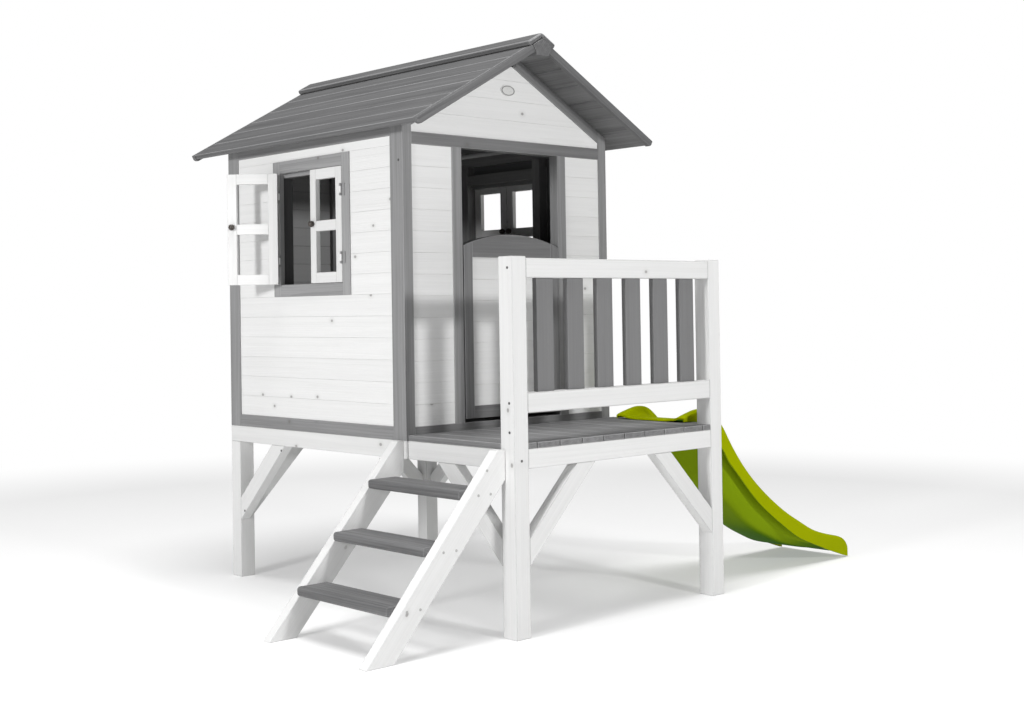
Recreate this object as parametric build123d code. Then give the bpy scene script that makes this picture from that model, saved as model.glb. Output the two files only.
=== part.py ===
from build123d import *
import math
import os

# Wooden playhouse on legs with a veranda, an open stair and a plastic slide.
# Modelled with +X to the slide, -Y to the veranda and +Z up, from the front left
# corner of the house walls, then moved so the origin is the centre of the whole
# object's footprint on the ground.

# House and platform
house_width = 950.0
house_depth = 1024.0
veranda_depth = 487.0
veranda_left = 8.0
veranda_width = 965.0
post_size = 58.0
post_top = 1124.0
beam_bottom = 497.0
beam_top = 555.0
floor_thickness = 18.0
floor_top = beam_top + floor_thickness
deck_board_pitch = 96.5
board_gap = 2.0
deck_board_gap = 4.0

# Braces under the platform
brace_inner_reach = 205.0
brace_outer_reach = 287.0
brace_thickness = 38.0

# Walls
frame_thickness = 38.0
corner_width = 65.0
bottom_rail_top = 597.0
header_bottom = 1503.0
header_top = 1542.0
side_plate_bottom = 1532.0
side_plate_top = 1570.0
cladding_setback = 4.0
cladding_thickness = 14.0
cladding_pitch = 69.7
cladding_joint = 0.3
rows_under_window = 6
rows_beside_window = 7
door_left = 251.0
door_right = 699.0
door_post_width = 41.0

# Side windows
window_near = 325.0
window_far = 689.0
window_bottom = 1066.0
window_top = 1460.0
window_trim = 42.0
trim_thickness = 18.0
stud_width = 38.0
leaf_thickness = 18.0
leaf_jamb_gap = 1.5
leaf_meeting_gap = 3.0
leaf_stile = 33.0
leaf_rail = 36.0
leaf_open_angle = 135.0
head_stop_height = 15.0
head_stop_thickness = 18.0
head_stop_clearance = 1.0
back_middle_post_width = 50.0
knob_radius = 11.0
knob_neck_radius = 5.0
knob_length = 20.0
knob_rise = 8.0

# Door
door_bottom = 609.0
door_free_gap = 5.0
door_hinge_gap = 1.5
door_stile = 38.0
door_rail_top = 650.0
door_arch_foot = 1182.0
door_arch_crown = 1221.0
door_top_rail_bottom = 1143.0
door_hinge_heights = (720, 1085)

# Hinges
hinge_height = 40.0
hinge_end_height = 8.0
hinge_plate_width = 20.0
hinge_plate_thickness = 2.0
hinge_axis_offset = 5.0
knuckle_radius = 4.0
pin_radius = 2.0
pin_clearance = 0.05
knuckle_gap = 0.3
knuckle_clearance = 0.5
neck_clearance = 1.0
window_hinge_heights = (1150, 1378)

# Roof
roof_angle = 29.0
roof_apex = 1866.0
roof_half_run = 550.0
roof_front = -162.0
roof_back = 1160.0
roof_board_thickness = 18.0
roof_boards_per_side = 6
rafter_depth = 36.0
barge_depth = 26.0
barge_thickness = 20.0
barge_chamfer = 8.0
ridge_half_width = 44.0
ridge_side_height = 39.0
ridge_overhang = 4.0
cap_width = 62.0
cap_thickness = 18.0
gable_pitch = 68.0

# Stair
stringer_thickness = 36.0
stringer_near_y = -448.0
stringer_far_y = 14.0
stringer_front_foot = -517.0
stringer_back_foot = -420.0
stringer_upper_slope = 1.121
stringer_lower_slope = 1.095
tread_count = 3
tread_depth = 110.0
tread_thickness = 28.0
top_tread_nose = -145.0
tread_run = 136.0
top_tread_height = 445.0
tread_rise = 147.0
tread_round = 9.0

# Guard rail
guard_rail_thickness = 38.0
top_rail_bottom = 1060.0
top_rail_top = 1119.0
low_rail_bottom = 661.0
low_rail_top = 721.0
slat_count = 6
slat_width = 70.0
slat_thickness = 18.0
slat_pitch = 132.0
slat_start = 118.0

# Slide
slide_start = 905.0
slide_end = 1866.0
slide_centre_y = -228.0
slide_half_width = 154.0
slide_rim_inner = 124.0
slide_haunch_half = 108.0
slide_haunch_share = 0.38
slide_bed_half = 66.0
slide_skin = 5.0
slide_bed_skin = 5.5
slide_round_in = 52.0
slide_round_in_share = 0.5
slide_round_out = 14.0
slide_round_out_share = 0.35
slide_round_least = 0.8

# Screws and plate
screw_radius = 4.0
screw_head = 1.0
rail_screw_heights = (1090, 692, 606)
beam_screw_height = 522.0
left_side_screws = ((700, 480), (940, 245), (20, 1450))
tread_screw_insets = (44, 92)
stringer_screw_x = -66.0
stringer_screw_height = 500.0
plate_width = 66.0
plate_height = 36.0
plate_thickness = 3.0
plate_offset = -6.0
plate_centre_height = 1712.0

# Derived positions
slope = math.radians(roof_angle)
ridge_x = house_width / 2
veranda_right = veranda_left + veranda_width
centre_x = (stringer_front_foot + slide_end) / 2
centre_y = (roof_back - veranda_depth - screw_head) / 2
footprint = Location((-centre_x, -centre_y, 0))


def block(x0, x1, y0, y1, z0, z1):
    """Rectangular piece between two opposite corners."""
    centre = Location(((x0 + x1) / 2, (y0 + y1) / 2, (z0 + z1) / 2))
    return centre * Box(x1 - x0, y1 - y0, z1 - z0)


def prism_along_y(points, y0, y1):
    """Outline given in X and Z, extended from y0 to y1."""
    outline = Polyline([(x, y0, z) for x, z in points], close=True)
    return extrude(make_face(outline), amount=y1 - y0, dir=(0, 1, 0))


def prism_along_x(points, x0, x1):
    """Outline given in Y and Z, extended from x0 to x1."""
    outline = Polyline([(x0, y, z) for y, z in points], close=True)
    return extrude(make_face(outline), amount=x1 - x0, dir=(1, 0, 0))


def roof_point(side, along, below):
    """Point on one roof slope: distance down the slope and depth under its top face."""
    x = ridge_x + side * (along * math.cos(slope) - below * math.sin(slope))
    z = roof_apex - along * math.sin(slope) - below * math.cos(slope)
    return (x, z)


def space_under(depth):
    """House-shaped volume that lies under both roof slopes at a given depth."""
    apex = roof_apex - depth / math.cos(slope)
    reach = house_width
    drop = reach * math.tan(slope)
    points = [(ridge_x, apex), (ridge_x + reach, apex - drop), (ridge_x + reach, 0)]
    points += [(ridge_x - reach, 0), (ridge_x - reach, apex - drop)]
    return prism_along_y(points, -house_depth, 2 * house_depth)


def save(name, pieces):
    """Write one node as a group of separate solids in the shared frame."""
    solids = []
    for piece in pieces:
        solids.extend(piece.solids())
    placed = Compound(children=[footprint * solid for solid in solids])
    export_step(placed, f"parts/{name}.step")


# Platform


def back_legs():
    y0 = house_depth - post_size
    left = block(0, post_size, y0, house_depth, 0, beam_bottom)
    right = block(house_width - post_size, house_width, y0, house_depth, 0, beam_bottom)
    return [left, right]


def veranda_posts():
    y1 = -veranda_depth + post_size
    left = block(veranda_left, veranda_left + post_size, -veranda_depth, y1, 0, post_top)
    right = block(veranda_right - post_size, veranda_right, -veranda_depth, y1, 0, post_top)
    return [left, right]


def house_beams():
    x1 = house_width - post_size
    y1 = house_depth - post_size
    left = block(0, post_size, 0, house_depth, beam_bottom, beam_top)
    right = block(x1, house_width, 0, house_depth, beam_bottom, beam_top)
    front = block(post_size, x1, 0, post_size, beam_bottom, beam_top)
    back = block(post_size, x1, y1, house_depth, beam_bottom, beam_top)
    return [left, right, front, back]


def veranda_beams():
    x0 = veranda_left + post_size
    x1 = veranda_right - post_size
    y1 = -veranda_depth + post_size
    left = block(veranda_left, x0, y1, 0, beam_bottom, beam_top)
    right = block(x1, veranda_right, y1, 0, beam_bottom, beam_top)
    front = block(x0, x1, -veranda_depth, y1, beam_bottom, beam_top)
    return [left, right, front]


def brace_outline(corner, direction):
    """Diagonal strut from the face of a post up to the underside of a beam."""
    inner = brace_inner_reach
    outer = brace_outer_reach
    points = [(corner + direction * inner, beam_bottom)]
    points.append((corner + direction * outer, beam_bottom))
    points.append((corner, beam_bottom - outer))
    points.append((corner, beam_bottom - inner))
    return points


def corner_braces():
    front = -veranda_depth
    back = house_depth
    thick = brace_thickness
    left_post = brace_outline(veranda_left + post_size, 1)
    right_post = brace_outline(veranda_right - post_size, -1)
    left_leg = brace_outline(post_size, 1)
    right_leg = brace_outline(house_width - post_size, -1)
    post_side = brace_outline(front + post_size, 1)
    leg_side = brace_outline(back - post_size, -1)
    pieces = [prism_along_y(left_post, front, front + thick)]
    pieces.append(prism_along_y(right_post, front, front + thick))
    pieces.append(prism_along_y(left_leg, back - thick, back))
    pieces.append(prism_along_y(right_leg, back - thick, back))
    pieces.append(prism_along_x(post_side, veranda_left, veranda_left + thick))
    pieces.append(prism_along_x(leg_side, 0, thick))
    pieces.append(prism_along_x(leg_side, house_width - thick, house_width))
    return pieces


def veranda_deck():
    posts = veranda_posts()
    pieces = []
    for number in range(10):
        x0 = veranda_left + number * deck_board_pitch
        x1 = x0 + deck_board_pitch - deck_board_gap
        board = block(x0, x1, -veranda_depth, 0, beam_top, floor_top)
        pieces.append(board - posts[0] - posts[1])
    return pieces


def house_floor():
    inside = frame_thickness
    pitch = (house_depth - 2 * inside) / 10
    pieces = []
    for number in range(10):
        y0 = inside + number * pitch
        y1 = y0 + pitch - board_gap
        pieces.append(block(inside, house_width - inside, y0, y1, beam_top, floor_top))
    return pieces


# Walls


def corner_posts():
    roof_space = space_under(roof_board_thickness)
    pieces = []
    for x0 in (0, house_width - frame_thickness):
        for y0 in (0, house_depth - corner_width):
            post = block(x0, x0 + frame_thickness, y0, y0 + corner_width, beam_top, roof_apex)
            pieces.append(post & roof_space)
    return pieces


def door_posts():
    left = block(door_left - door_post_width, door_left, 0, frame_thickness, bottom_rail_top, header_bottom)
    right = block(door_right, door_right + door_post_width, 0, frame_thickness, bottom_rail_top, header_bottom)
    return [left, right]


def end_wall_rails(y0):
    """Bottom rail and header of a gable wall."""
    x0 = frame_thickness
    x1 = house_width - frame_thickness
    y1 = y0 + frame_thickness
    bottom = block(x0, x1, y0, y1, beam_top, bottom_rail_top)
    header = block(x0, x1, y0, y1, header_bottom, header_top)
    return [bottom, header]


def back_middle_post():
    """Upright inside the back wall, behind its boards."""
    half = back_middle_post_width / 2
    y0 = house_depth - frame_thickness
    y1 = house_depth - cladding_setback - cladding_thickness
    middle = house_width / 2
    return block(middle - half, middle + half, y0, y1, bottom_rail_top, header_bottom)


def side_wall_rails(x0):
    """Bottom rail and top plate of a side wall."""
    x1 = x0 + frame_thickness
    y0 = corner_width
    y1 = house_depth - corner_width
    bottom = block(x0, x1, y0, y1, beam_top, bottom_rail_top)
    top = block(x0, x1, y0, y1, side_plate_bottom, side_plate_top)
    return [bottom, top & space_under(roof_board_thickness)]


def board_rows(z0, z1, pitch):
    """Lower and upper edge of each horizontal board between two heights."""
    rows = []
    low = z0
    while low < z1 - 1:
        high = min(low + pitch, z1)
        rows.append((low + cladding_joint / 2, high - cladding_joint / 2))
        low = low + pitch
    return rows


def front_wall_cladding():
    y0 = cladding_setback
    y1 = y0 + cladding_thickness
    panels = [(frame_thickness, door_left - door_post_width)]
    panels.append((door_right + door_post_width, house_width - frame_thickness))
    pieces = []
    for x0, x1 in panels:
        for z0, z1 in board_rows(bottom_rail_top, header_bottom, cladding_pitch):
            pieces.append(block(x0, x1, y0, y1, z0, z1))
    return pieces


def back_wall_cladding():
    y1 = house_depth - cladding_setback
    y0 = y1 - cladding_thickness
    pieces = []
    for z0, z1 in board_rows(bottom_rail_top, header_bottom, cladding_pitch):
        pieces.append(block(frame_thickness, house_width - frame_thickness, y0, y1, z0, z1))
    return pieces


def side_wall_cladding(x0):
    """Horizontal boards of a side wall, with the rows set out to meet the window trim."""
    x1 = x0 + cladding_thickness
    y0 = corner_width
    y1 = house_depth - corner_width
    low = window_bottom - window_trim
    high = window_top + window_trim
    under = board_rows(bottom_rail_top, low, (low - bottom_rail_top) / rows_under_window)
    over = board_rows(high, side_plate_bottom, cladding_pitch)
    pieces = [block(x0, x1, y0, y1, z0, z1) for z0, z1 in under + over]
    for z0, z1 in board_rows(low, high, (high - low) / rows_beside_window):
        pieces.append(block(x0, x1, y0, window_near - window_trim, z0, z1))
        pieces.append(block(x0, x1, window_far + window_trim, y1, z0, z1))
    return pieces


def window_frame(x0):
    """Four trim boards round a window opening."""
    x1 = x0 + trim_thickness
    near = window_near - window_trim
    far = window_far + window_trim
    low = window_bottom - window_trim
    high = window_top + window_trim
    pieces = [block(x0, x1, near, window_near, low, high)]
    pieces.append(block(x0, x1, window_far, far, low, high))
    pieces.append(block(x0, x1, window_near, window_far, low, window_bottom))
    pieces.append(block(x0, x1, window_near, window_far, window_top, high))
    return pieces


def window_studs(x0):
    """Inner uprights beside a window, with a rail over and under it."""
    x1 = x0 + stud_width
    near = window_near - stud_width
    far = window_far + stud_width
    low = bottom_rail_top
    pieces = [block(x0, x1, near, window_near, low, side_plate_bottom)]
    pieces.append(block(x0, x1, window_far, far, low, side_plate_bottom))
    pieces.append(block(x0, x1, window_near, window_far, window_bottom - stud_width, window_bottom))
    pieces.append(block(x0, x1, window_near, window_far, window_top, window_top + stud_width))
    return pieces


def head_stop(x0):
    """Strip along the top of a window opening that the closed leaves rest against."""
    low = window_top - head_stop_height
    return [block(x0, x0 + head_stop_thickness, window_near, window_far, low, window_top)]


def gable_boards(y0):
    """Horizontal boards in the triangle over a header, cut along the rafters."""
    y1 = y0 + cladding_thickness
    triangle = space_under(roof_board_thickness + rafter_depth)
    x0 = frame_thickness
    x1 = house_width - frame_thickness
    pieces = []
    for z0, z1 in board_rows(header_top, roof_apex - gable_pitch, gable_pitch):
        pieces.append(block(x0, x1, y0, y1, z0, z1) & triangle)
    return pieces


def gable_plate():
    y0 = cladding_setback - plate_thickness
    outline = Ellipse(plate_width / 2, plate_height / 2)
    disc = extrude(outline, amount=plate_thickness)
    centre = (ridge_x + plate_offset, y0 + plate_thickness, plate_centre_height)
    return [Location(centre, (90, 0, 0)) * disc]


# Roof


def rafters():
    """Sloping frame members at both gables, from the corner posts to the ridge beam."""
    top = roof_board_thickness
    start = ridge_half_width / math.cos(slope)
    pieces = []
    for y0 in (0, house_depth - frame_thickness):
        inside = block(frame_thickness, house_width - frame_thickness, y0, y0 + frame_thickness, 0, roof_apex)
        for side in (-1, 1):
            outline = [roof_point(side, start, top), roof_point(side, roof_half_run, top)]
            outline.append(roof_point(side, roof_half_run, top + rafter_depth))
            outline.append(roof_point(side, start, top + rafter_depth))
            pieces.append(prism_along_y(outline, y0, y0 + frame_thickness) & inside)
    return pieces


def ridge_beam():
    shoulder = ridge_half_width / math.cos(slope)
    outline = [(ridge_x, roof_apex), roof_point(1, shoulder, 0)]
    outline.append(roof_point(1, shoulder, ridge_side_height))
    outline.append(roof_point(-1, shoulder, ridge_side_height))
    outline.append(roof_point(-1, shoulder, 0))
    return [prism_along_y(outline, roof_front - ridge_overhang, roof_back)]


def roof_boards(side):
    start = ridge_half_width / math.cos(slope)
    pitch = (roof_half_run / math.cos(slope) - start) / roof_boards_per_side
    y0 = roof_front + barge_thickness
    y1 = roof_back - barge_thickness
    pieces = []
    for number in range(roof_boards_per_side):
        s0 = start + number * pitch
        s1 = s0 + pitch - board_gap
        outline = [roof_point(side, s0, 0), roof_point(side, s1, 0)]
        outline.append(roof_point(side, s1, roof_board_thickness))
        outline.append(roof_point(side, s0, roof_board_thickness))
        pieces.append(prism_along_y(outline, y0, y1))
    return pieces


def bargeboards():
    """Strips that cover the ends of the roof boards."""
    start = ridge_half_width / math.cos(slope)
    end = roof_half_run / math.cos(slope)
    pieces = []
    for y0 in (roof_front, roof_back - barge_thickness):
        for side in (-1, 1):
            outline = [roof_point(side, start, 0), roof_point(side, end, 0)]
            outline.append(roof_point(side, end, barge_depth - barge_chamfer))
            outline.append(roof_point(side, end - barge_chamfer, barge_depth))
            outline.append(roof_point(side, start, barge_depth))
            pieces.append(prism_along_y(outline, y0, y0 + barge_thickness))
    return pieces


def ridge_caps():
    top = roof_apex + cap_thickness / math.cos(slope)
    pieces = []
    for side in (-1, 1):
        outline = [(ridge_x, roof_apex), roof_point(side, cap_width, 0)]
        outline.append(roof_point(side, cap_width, -cap_thickness))
        outline.append((ridge_x, top))
        pieces.append(prism_along_y(outline, roof_front, roof_back))
    return pieces


# Door and windows


def hinge_parts(frame_side):
    """Fixed and moving half of a hinge; the face is y = 0 and the pin stands off it."""
    half = hinge_height / 2
    inner = half - hinge_end_height
    thick = hinge_plate_thickness
    clear = knuckle_radius + knuckle_clearance
    axis = Location((0, hinge_axis_offset, 0))
    side = frame_side
    reach = sorted((side * clear, side * hinge_plate_width))
    neck = sorted((side * neck_clearance, side * clear))
    fixed = block(reach[0], reach[1], 0, thick, -half, half)
    fixed = fixed + axis * Cylinder(pin_radius, hinge_height)
    for z0, z1 in ((-half, -inner), (inner, half)):
        middle = Location((0, hinge_axis_offset, (z0 + z1) / 2))
        fixed = fixed + middle * Cylinder(knuckle_radius, hinge_end_height)
        fixed = fixed + block(neck[0], neck[1], 0, thick, z0, z1)
    short = inner - knuckle_gap
    reach = sorted((-side * clear, -side * hinge_plate_width))
    neck = sorted((-side * neck_clearance, -side * clear))
    moving = block(reach[0], reach[1], 0, thick, -half, half)
    moving = moving + block(neck[0], neck[1], 0, thick, -short, short)
    moving = moving + axis * Cylinder(knuckle_radius, 2 * short)
    moving = moving - axis * Cylinder(pin_radius + pin_clearance, hinge_height)
    return fixed, moving


def place_hinges(frame_side, x, y, turn, heights):
    """Hinge halves at several heights; turn points the hinge face outward."""
    fixed_parts = []
    moving_parts = []
    for height in heights:
        fixed, moving = hinge_parts(frame_side)
        spot = Location((x, y, height), (0, 0, turn))
        fixed_parts.append(spot * fixed)
        moving_parts.append(spot * moving)
    return fixed_parts, moving_parts


def window_leaf(x0, y0, y1):
    """Leaf frame of two stiles and three rails round two open panes."""
    x1 = x0 + leaf_thickness
    low = window_bottom + leaf_jamb_gap
    high = window_top - leaf_jamb_gap
    middle = (low + high) / 2
    inner0 = y0 + leaf_stile
    inner1 = y1 - leaf_stile
    pieces = [block(x0, x1, y0, inner0, low, high), block(x0, x1, inner1, y1, low, high)]
    pieces.append(block(x0, x1, inner0, inner1, low, low + leaf_rail))
    pieces.append(block(x0, x1, inner0, inner1, middle - leaf_rail / 2, middle + leaf_rail / 2))
    pieces.append(block(x0, x1, inner0, inner1, high - leaf_rail, high))
    return pieces


def knob():
    """Round turned knob standing on the plane z = 0."""
    ball_centre = knob_length - knob_radius
    neck = Location((0, 0, ball_centre / 2)) * Cylinder(knob_neck_radius, ball_centre)
    ball = Location((0, 0, ball_centre)) * Sphere(knob_radius)
    above = block(-knob_length, knob_length, -knob_length, knob_length, 0, knob_length)
    return (neck + ball) & above


def leaf_knobs(x0, y):
    """One knob on each face of a leaf, on its meeting stile."""
    height = (window_bottom + window_top) / 2 + knob_rise
    outer = Location((x0, y, height), (0, -90, 0)) * knob()
    inner = Location((x0 + leaf_thickness, y, height), (0, 90, 0)) * knob()
    return [outer, inner]


def turned(pieces, x, y, angle):
    """Pieces turned about an upright line at x, y."""
    move = Location((x, y, 0), (0, 0, angle)) * Location((-x, -y, 0))
    return [move * piece for piece in pieces]


def door_arch():
    """Space under the arched top of the door."""
    x0 = door_left + door_free_gap
    x1 = door_right - door_hinge_gap
    arc = ThreePointArc((x0, 0, door_arch_foot), ((x0 + x1) / 2, 0, door_arch_crown), (x1, 0, door_arch_foot))
    sides = Polyline([(x1, 0, door_arch_foot), (x1, 0, 0), (x0, 0, 0), (x0, 0, door_arch_foot)])
    return extrude(make_face(Curve() + [arc, sides]), amount=frame_thickness, dir=(0, 1, 0))


def door_frame():
    x0 = door_left + door_free_gap
    x1 = door_right - door_hinge_gap
    y1 = frame_thickness
    inner0 = x0 + door_stile
    inner1 = x1 - door_stile
    arch = door_arch()
    left = block(x0, inner0, 0, y1, door_bottom, door_arch_crown) & arch
    right = block(inner1, x1, 0, y1, door_bottom, door_arch_crown) & arch
    bottom = block(inner0, inner1, 0, y1, door_bottom, door_rail_top)
    top = block(inner0, inner1, 0, y1, door_top_rail_bottom, door_arch_crown) & arch
    return [left, right, bottom, top]


def door_boards():
    x0 = door_left + door_free_gap + door_stile
    x1 = door_right - door_hinge_gap - door_stile
    y0 = cladding_setback
    y1 = y0 + cladding_thickness
    pieces = []
    for z0, z1 in board_rows(door_rail_top, door_top_rail_bottom, cladding_pitch):
        pieces.append(block(x0, x1, y0, y1, z0, z1))
    return pieces


# Stair and guard rail


def stringer(y0, top_x):
    """Sloping side board of the stair, cut level at the foot and square at the top."""
    lower = (top_x - stringer_back_foot) * stringer_lower_slope
    upper_x = stringer_front_foot + beam_top / stringer_upper_slope
    points = [(stringer_front_foot, 0), (stringer_back_foot, 0), (top_x, lower)]
    points += [(top_x, beam_top), (upper_x, beam_top)]
    return prism_along_y(points, y0, y0 + stringer_thickness)


def stair_stringers():
    return [stringer(stringer_near_y, veranda_left), stringer(stringer_far_y, 0)]


def stair_treads():
    y0 = stringer_near_y + stringer_thickness
    pieces = []
    for number in range(tread_count):
        nose = top_tread_nose - number * tread_run
        top = top_tread_height - number * tread_rise
        tread = block(nose, nose + tread_depth, y0, stringer_far_y, top - tread_thickness, top)
        front_edges = tread.edges().filter_by(Axis.Y).sort_by(Axis.X)[:2]
        pieces.append(fillet(front_edges, tread_round))
    return pieces


def guard_rails():
    x0 = veranda_left + post_size
    x1 = veranda_right - post_size
    y0 = -veranda_depth
    y1 = y0 + guard_rail_thickness
    top = block(x0, x1, y0, y1, top_rail_bottom, top_rail_top)
    low = block(x0, x1, y0, y1, low_rail_bottom, low_rail_top)
    return [top, low]


def guard_slats():
    y0 = -veranda_depth + (guard_rail_thickness - slat_thickness) / 2
    pieces = []
    for number in range(slat_count):
        x0 = slat_start + number * slat_pitch
        x1 = x0 + slat_width
        pieces.append(block(x0, x1, y0, y0 + slat_thickness, low_rail_top, top_rail_bottom))
    return pieces


# Slide: heights of the rim, the sliding bed and the lower edge of the flange


slide_stations = [
    (slide_start, 589.0, 580.5, 576.0),
    (940.0, 601.0, 580.5, 576.0),
    (975.0, 610.0, 580.0, 575.0),
    (1010.0, 614.0, 573.0, 568.0),
    (1055.0, 601.0, 532.0, 533.0),
    (1100.0, 567.0, 455.0, 482.0),
    (1155.0, 497.0, 352.0, 413.0),
    (1208.0, 430.0, 294.0, 362.0),
    (1285.0, 352.0, 230.0, 287.0),
    (1365.0, 288.0, 170.0, 224.0),
    (1440.0, 237.0, 129.0, 175.0),
    (1520.0, 191.0, 95.0, 126.0),
    (1605.0, 148.0, 69.0, 88.0),
    (1690.0, 114.0, 52.0, 58.0),
    (1760.0, 96.0, 42.0, 34.0),
    (1817.0, 83.0, 34.0, 16.0),
    (1850.0, 68.0, 25.0, 6.0),
    (slide_end, 46.0, 18.0, 3.0),
]


def slide_section(x, rim, bed, flange):
    """Trough section with a rounded rim that turns down into a flange."""
    skin = slide_skin
    outer = slide_half_width
    wall = slide_rim_inner
    haunch = slide_haunch_half
    floor = slide_bed_half
    waist = bed + (rim - bed) * slide_haunch_share
    round_in = min(slide_round_in, (rim - bed) * slide_round_in_share)
    round_out = min(slide_round_out, (rim - flange) * slide_round_out_share)
    under = bed - slide_bed_skin
    points = [(-outer, flange), (-outer, rim), (-wall, rim), (-haunch, waist), (-floor, bed)]
    points += [(floor, bed), (haunch, waist), (wall, rim), (outer, rim), (outer, flange)]
    back = [(outer - skin, flange), (outer - skin, rim - skin), (wall + skin, rim - skin)]
    back += [(haunch + skin, waist - skin), (floor + skin, under)]
    back += [(-floor - skin, under), (-haunch - skin, waist - skin)]
    back += [(-wall - skin, rim - skin), (-outer + skin, rim - skin), (-outer + skin, flange)]
    side = [round_out, round_in, round_in]
    radii = [0, round_out] + side + side[::-1] + [round_out, 0]
    small = max(round_out - skin, slide_round_least)
    side = [small, round_in, round_in]
    radii += [0, small] + side + side[::-1] + [small, 0]
    corners = [(x, slide_centre_y + y, z) for y, z in points + back]
    return rounded_loop(corners, radii)


def rounded_loop(corners, radii):
    """Closed outline through the corners, each rounded by its own radius."""
    edges = []
    count = len(corners)
    starts = []
    ends = []
    for number in range(count):
        here = Vector(*corners[number])
        before = Vector(*corners[number - 1])
        after = Vector(*corners[(number + 1) % count])
        back = (before - here).normalized()
        ahead = (after - here).normalized()
        if radii[number] == 0:
            starts.append(here)
            ends.append(here)
            continue
        half_angle = math.radians(back.get_angle(ahead)) / 2
        trim = radii[number] / math.tan(half_angle)
        trim = min(trim, (before - here).length * 0.45, (after - here).length * 0.45)
        starts.append(here + back * trim)
        ends.append(here + ahead * trim)
    for number in range(count):
        if radii[number] != 0:
            corner = Vector(*corners[number])
            middle = (starts[number] + ends[number]) * 0.25 + corner * 0.5
            edges.append(Spline(starts[number], middle, ends[number]).edge())
        edges.append(Line(ends[number], starts[(number + 1) % count]).edge())
    return make_face(edges)


def slide():
    """One moulded trough from a lip on the deck down to the ground."""
    sections = [slide_section(*station) for station in slide_stations]
    return [loft(sections)]


# Screws


def screw(x, y, z, turn):
    """Low round screw head on a face; turn points it outward."""
    head = Location((0, 0, screw_head / 2)) * Cylinder(screw_radius, screw_head)
    return Location((x, y, z), turn) * head


def frame_screws():
    left = (0, -90, 0)
    right = (0, 90, 0)
    front = (90, 0, 0)
    side_y = -veranda_depth + guard_rail_thickness / 2
    pieces = []
    for height in rail_screw_heights:
        pieces.append(screw(veranda_left, side_y, height, left))
        pieces.append(screw(veranda_right, side_y, height, right))
    pieces.append(screw(veranda_left + post_size / 2, -veranda_depth, beam_screw_height, front))
    for y, height in left_side_screws:
        pieces.append(screw(0, y, height, left))
    return pieces


def stair_screws():
    near_face = (90, 0, 0)
    far_face = (-90, 0, 0)
    faces = [(stringer_near_y, near_face), (stringer_far_y + stringer_thickness, far_face)]
    pieces = []
    for y, turn in faces:
        for number in range(tread_count):
            nose = top_tread_nose - number * tread_run
            height = top_tread_height - number * tread_rise - tread_thickness / 2
            for inset in tread_screw_insets:
                pieces.append(screw(nose + inset, y, height, turn))
        pieces.append(screw(stringer_screw_x, y, stringer_screw_height, turn))
    return pieces


os.makedirs("parts", exist_ok=True)

# Fixed structure
save("back_legs", back_legs())
save("veranda_posts", veranda_posts())
save("house_beams", house_beams())
save("veranda_beams", veranda_beams())
save("corner_braces", corner_braces())
save("veranda_deck_boards", veranda_deck())
save("house_floor_boards", house_floor())
save("corner_posts", corner_posts())
save("door_posts", door_posts())
save("front_wall_rails", end_wall_rails(0))
save("front_wall_boards", front_wall_cladding())
save("back_wall_rails", end_wall_rails(house_depth - frame_thickness) + [back_middle_post()])
save("back_wall_boards", back_wall_cladding())
left_clad = cladding_setback
right_clad = house_width - cladding_setback - cladding_thickness
right_trim = house_width - trim_thickness
left_stop = trim_thickness + head_stop_clearance
right_stop = right_trim - head_stop_clearance - head_stop_thickness
save("left_wall_rails", side_wall_rails(0))
save("left_wall_boards", side_wall_cladding(left_clad))
save("left_window_frame", window_frame(0))
save("left_window_studs", window_studs(trim_thickness) + head_stop(left_stop))
save("right_wall_rails", side_wall_rails(house_width - frame_thickness))
save("right_wall_boards", side_wall_cladding(right_clad))
save("right_window_frame", window_frame(right_trim))
save("right_window_studs", window_studs(right_trim - stud_width) + head_stop(right_stop))
save("front_gable_boards", gable_boards(cladding_setback))
save("back_gable_boards", gable_boards(house_depth - cladding_setback - cladding_thickness))
save("gable_plate", gable_plate())
save("rafters", rafters())
save("ridge_beam", ridge_beam())
save("roof_boards_left", roof_boards(-1))
save("roof_boards_right", roof_boards(1))
save("bargeboards", bargeboards())
save("ridge_caps", ridge_caps())
save("stair_stringers", stair_stringers())
save("stair_treads", stair_treads())
save("guard_rails", guard_rails())
save("guard_slats", guard_slats())
save("slide", slide())
save("frame_screws", frame_screws())
save("stair_screws", stair_screws())

# Half door, hinged on its right inner edge
door_axis_x = door_right - door_hinge_gap / 2
door_hinges = place_hinges(1, door_axis_x, frame_thickness, 0, door_hinge_heights)
save("door_frame", door_frame())
save("door_boards", door_boards())
save("door_hinge_plates", door_hinges[0])
save("door_hinge_leaves", door_hinges[1])

# Window leaves, each hinged at its jamb on the outer face
leaf_width = (window_far - window_near - 2 * leaf_jamb_gap - leaf_meeting_gap) / 2
near_edge = window_near + leaf_jamb_gap
far_edge = window_far - leaf_jamb_gap
near_axis = window_near + leaf_jamb_gap / 2
far_axis = window_far - leaf_jamb_gap / 2
near_knob = near_edge + leaf_width - leaf_stile / 2
far_knob = far_edge - leaf_width + leaf_stile / 2

left_far = place_hinges(1, 0, far_axis, 90, window_hinge_heights)
left_near = place_hinges(-1, 0, near_axis, 90, window_hinge_heights)
right_far = place_hinges(-1, house_width, far_axis, -90, window_hinge_heights)
right_near = place_hinges(1, house_width, near_axis, -90, window_hinge_heights)
save("window_hinge_plates", left_far[0] + left_near[0] + right_far[0] + right_near[0])

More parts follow.
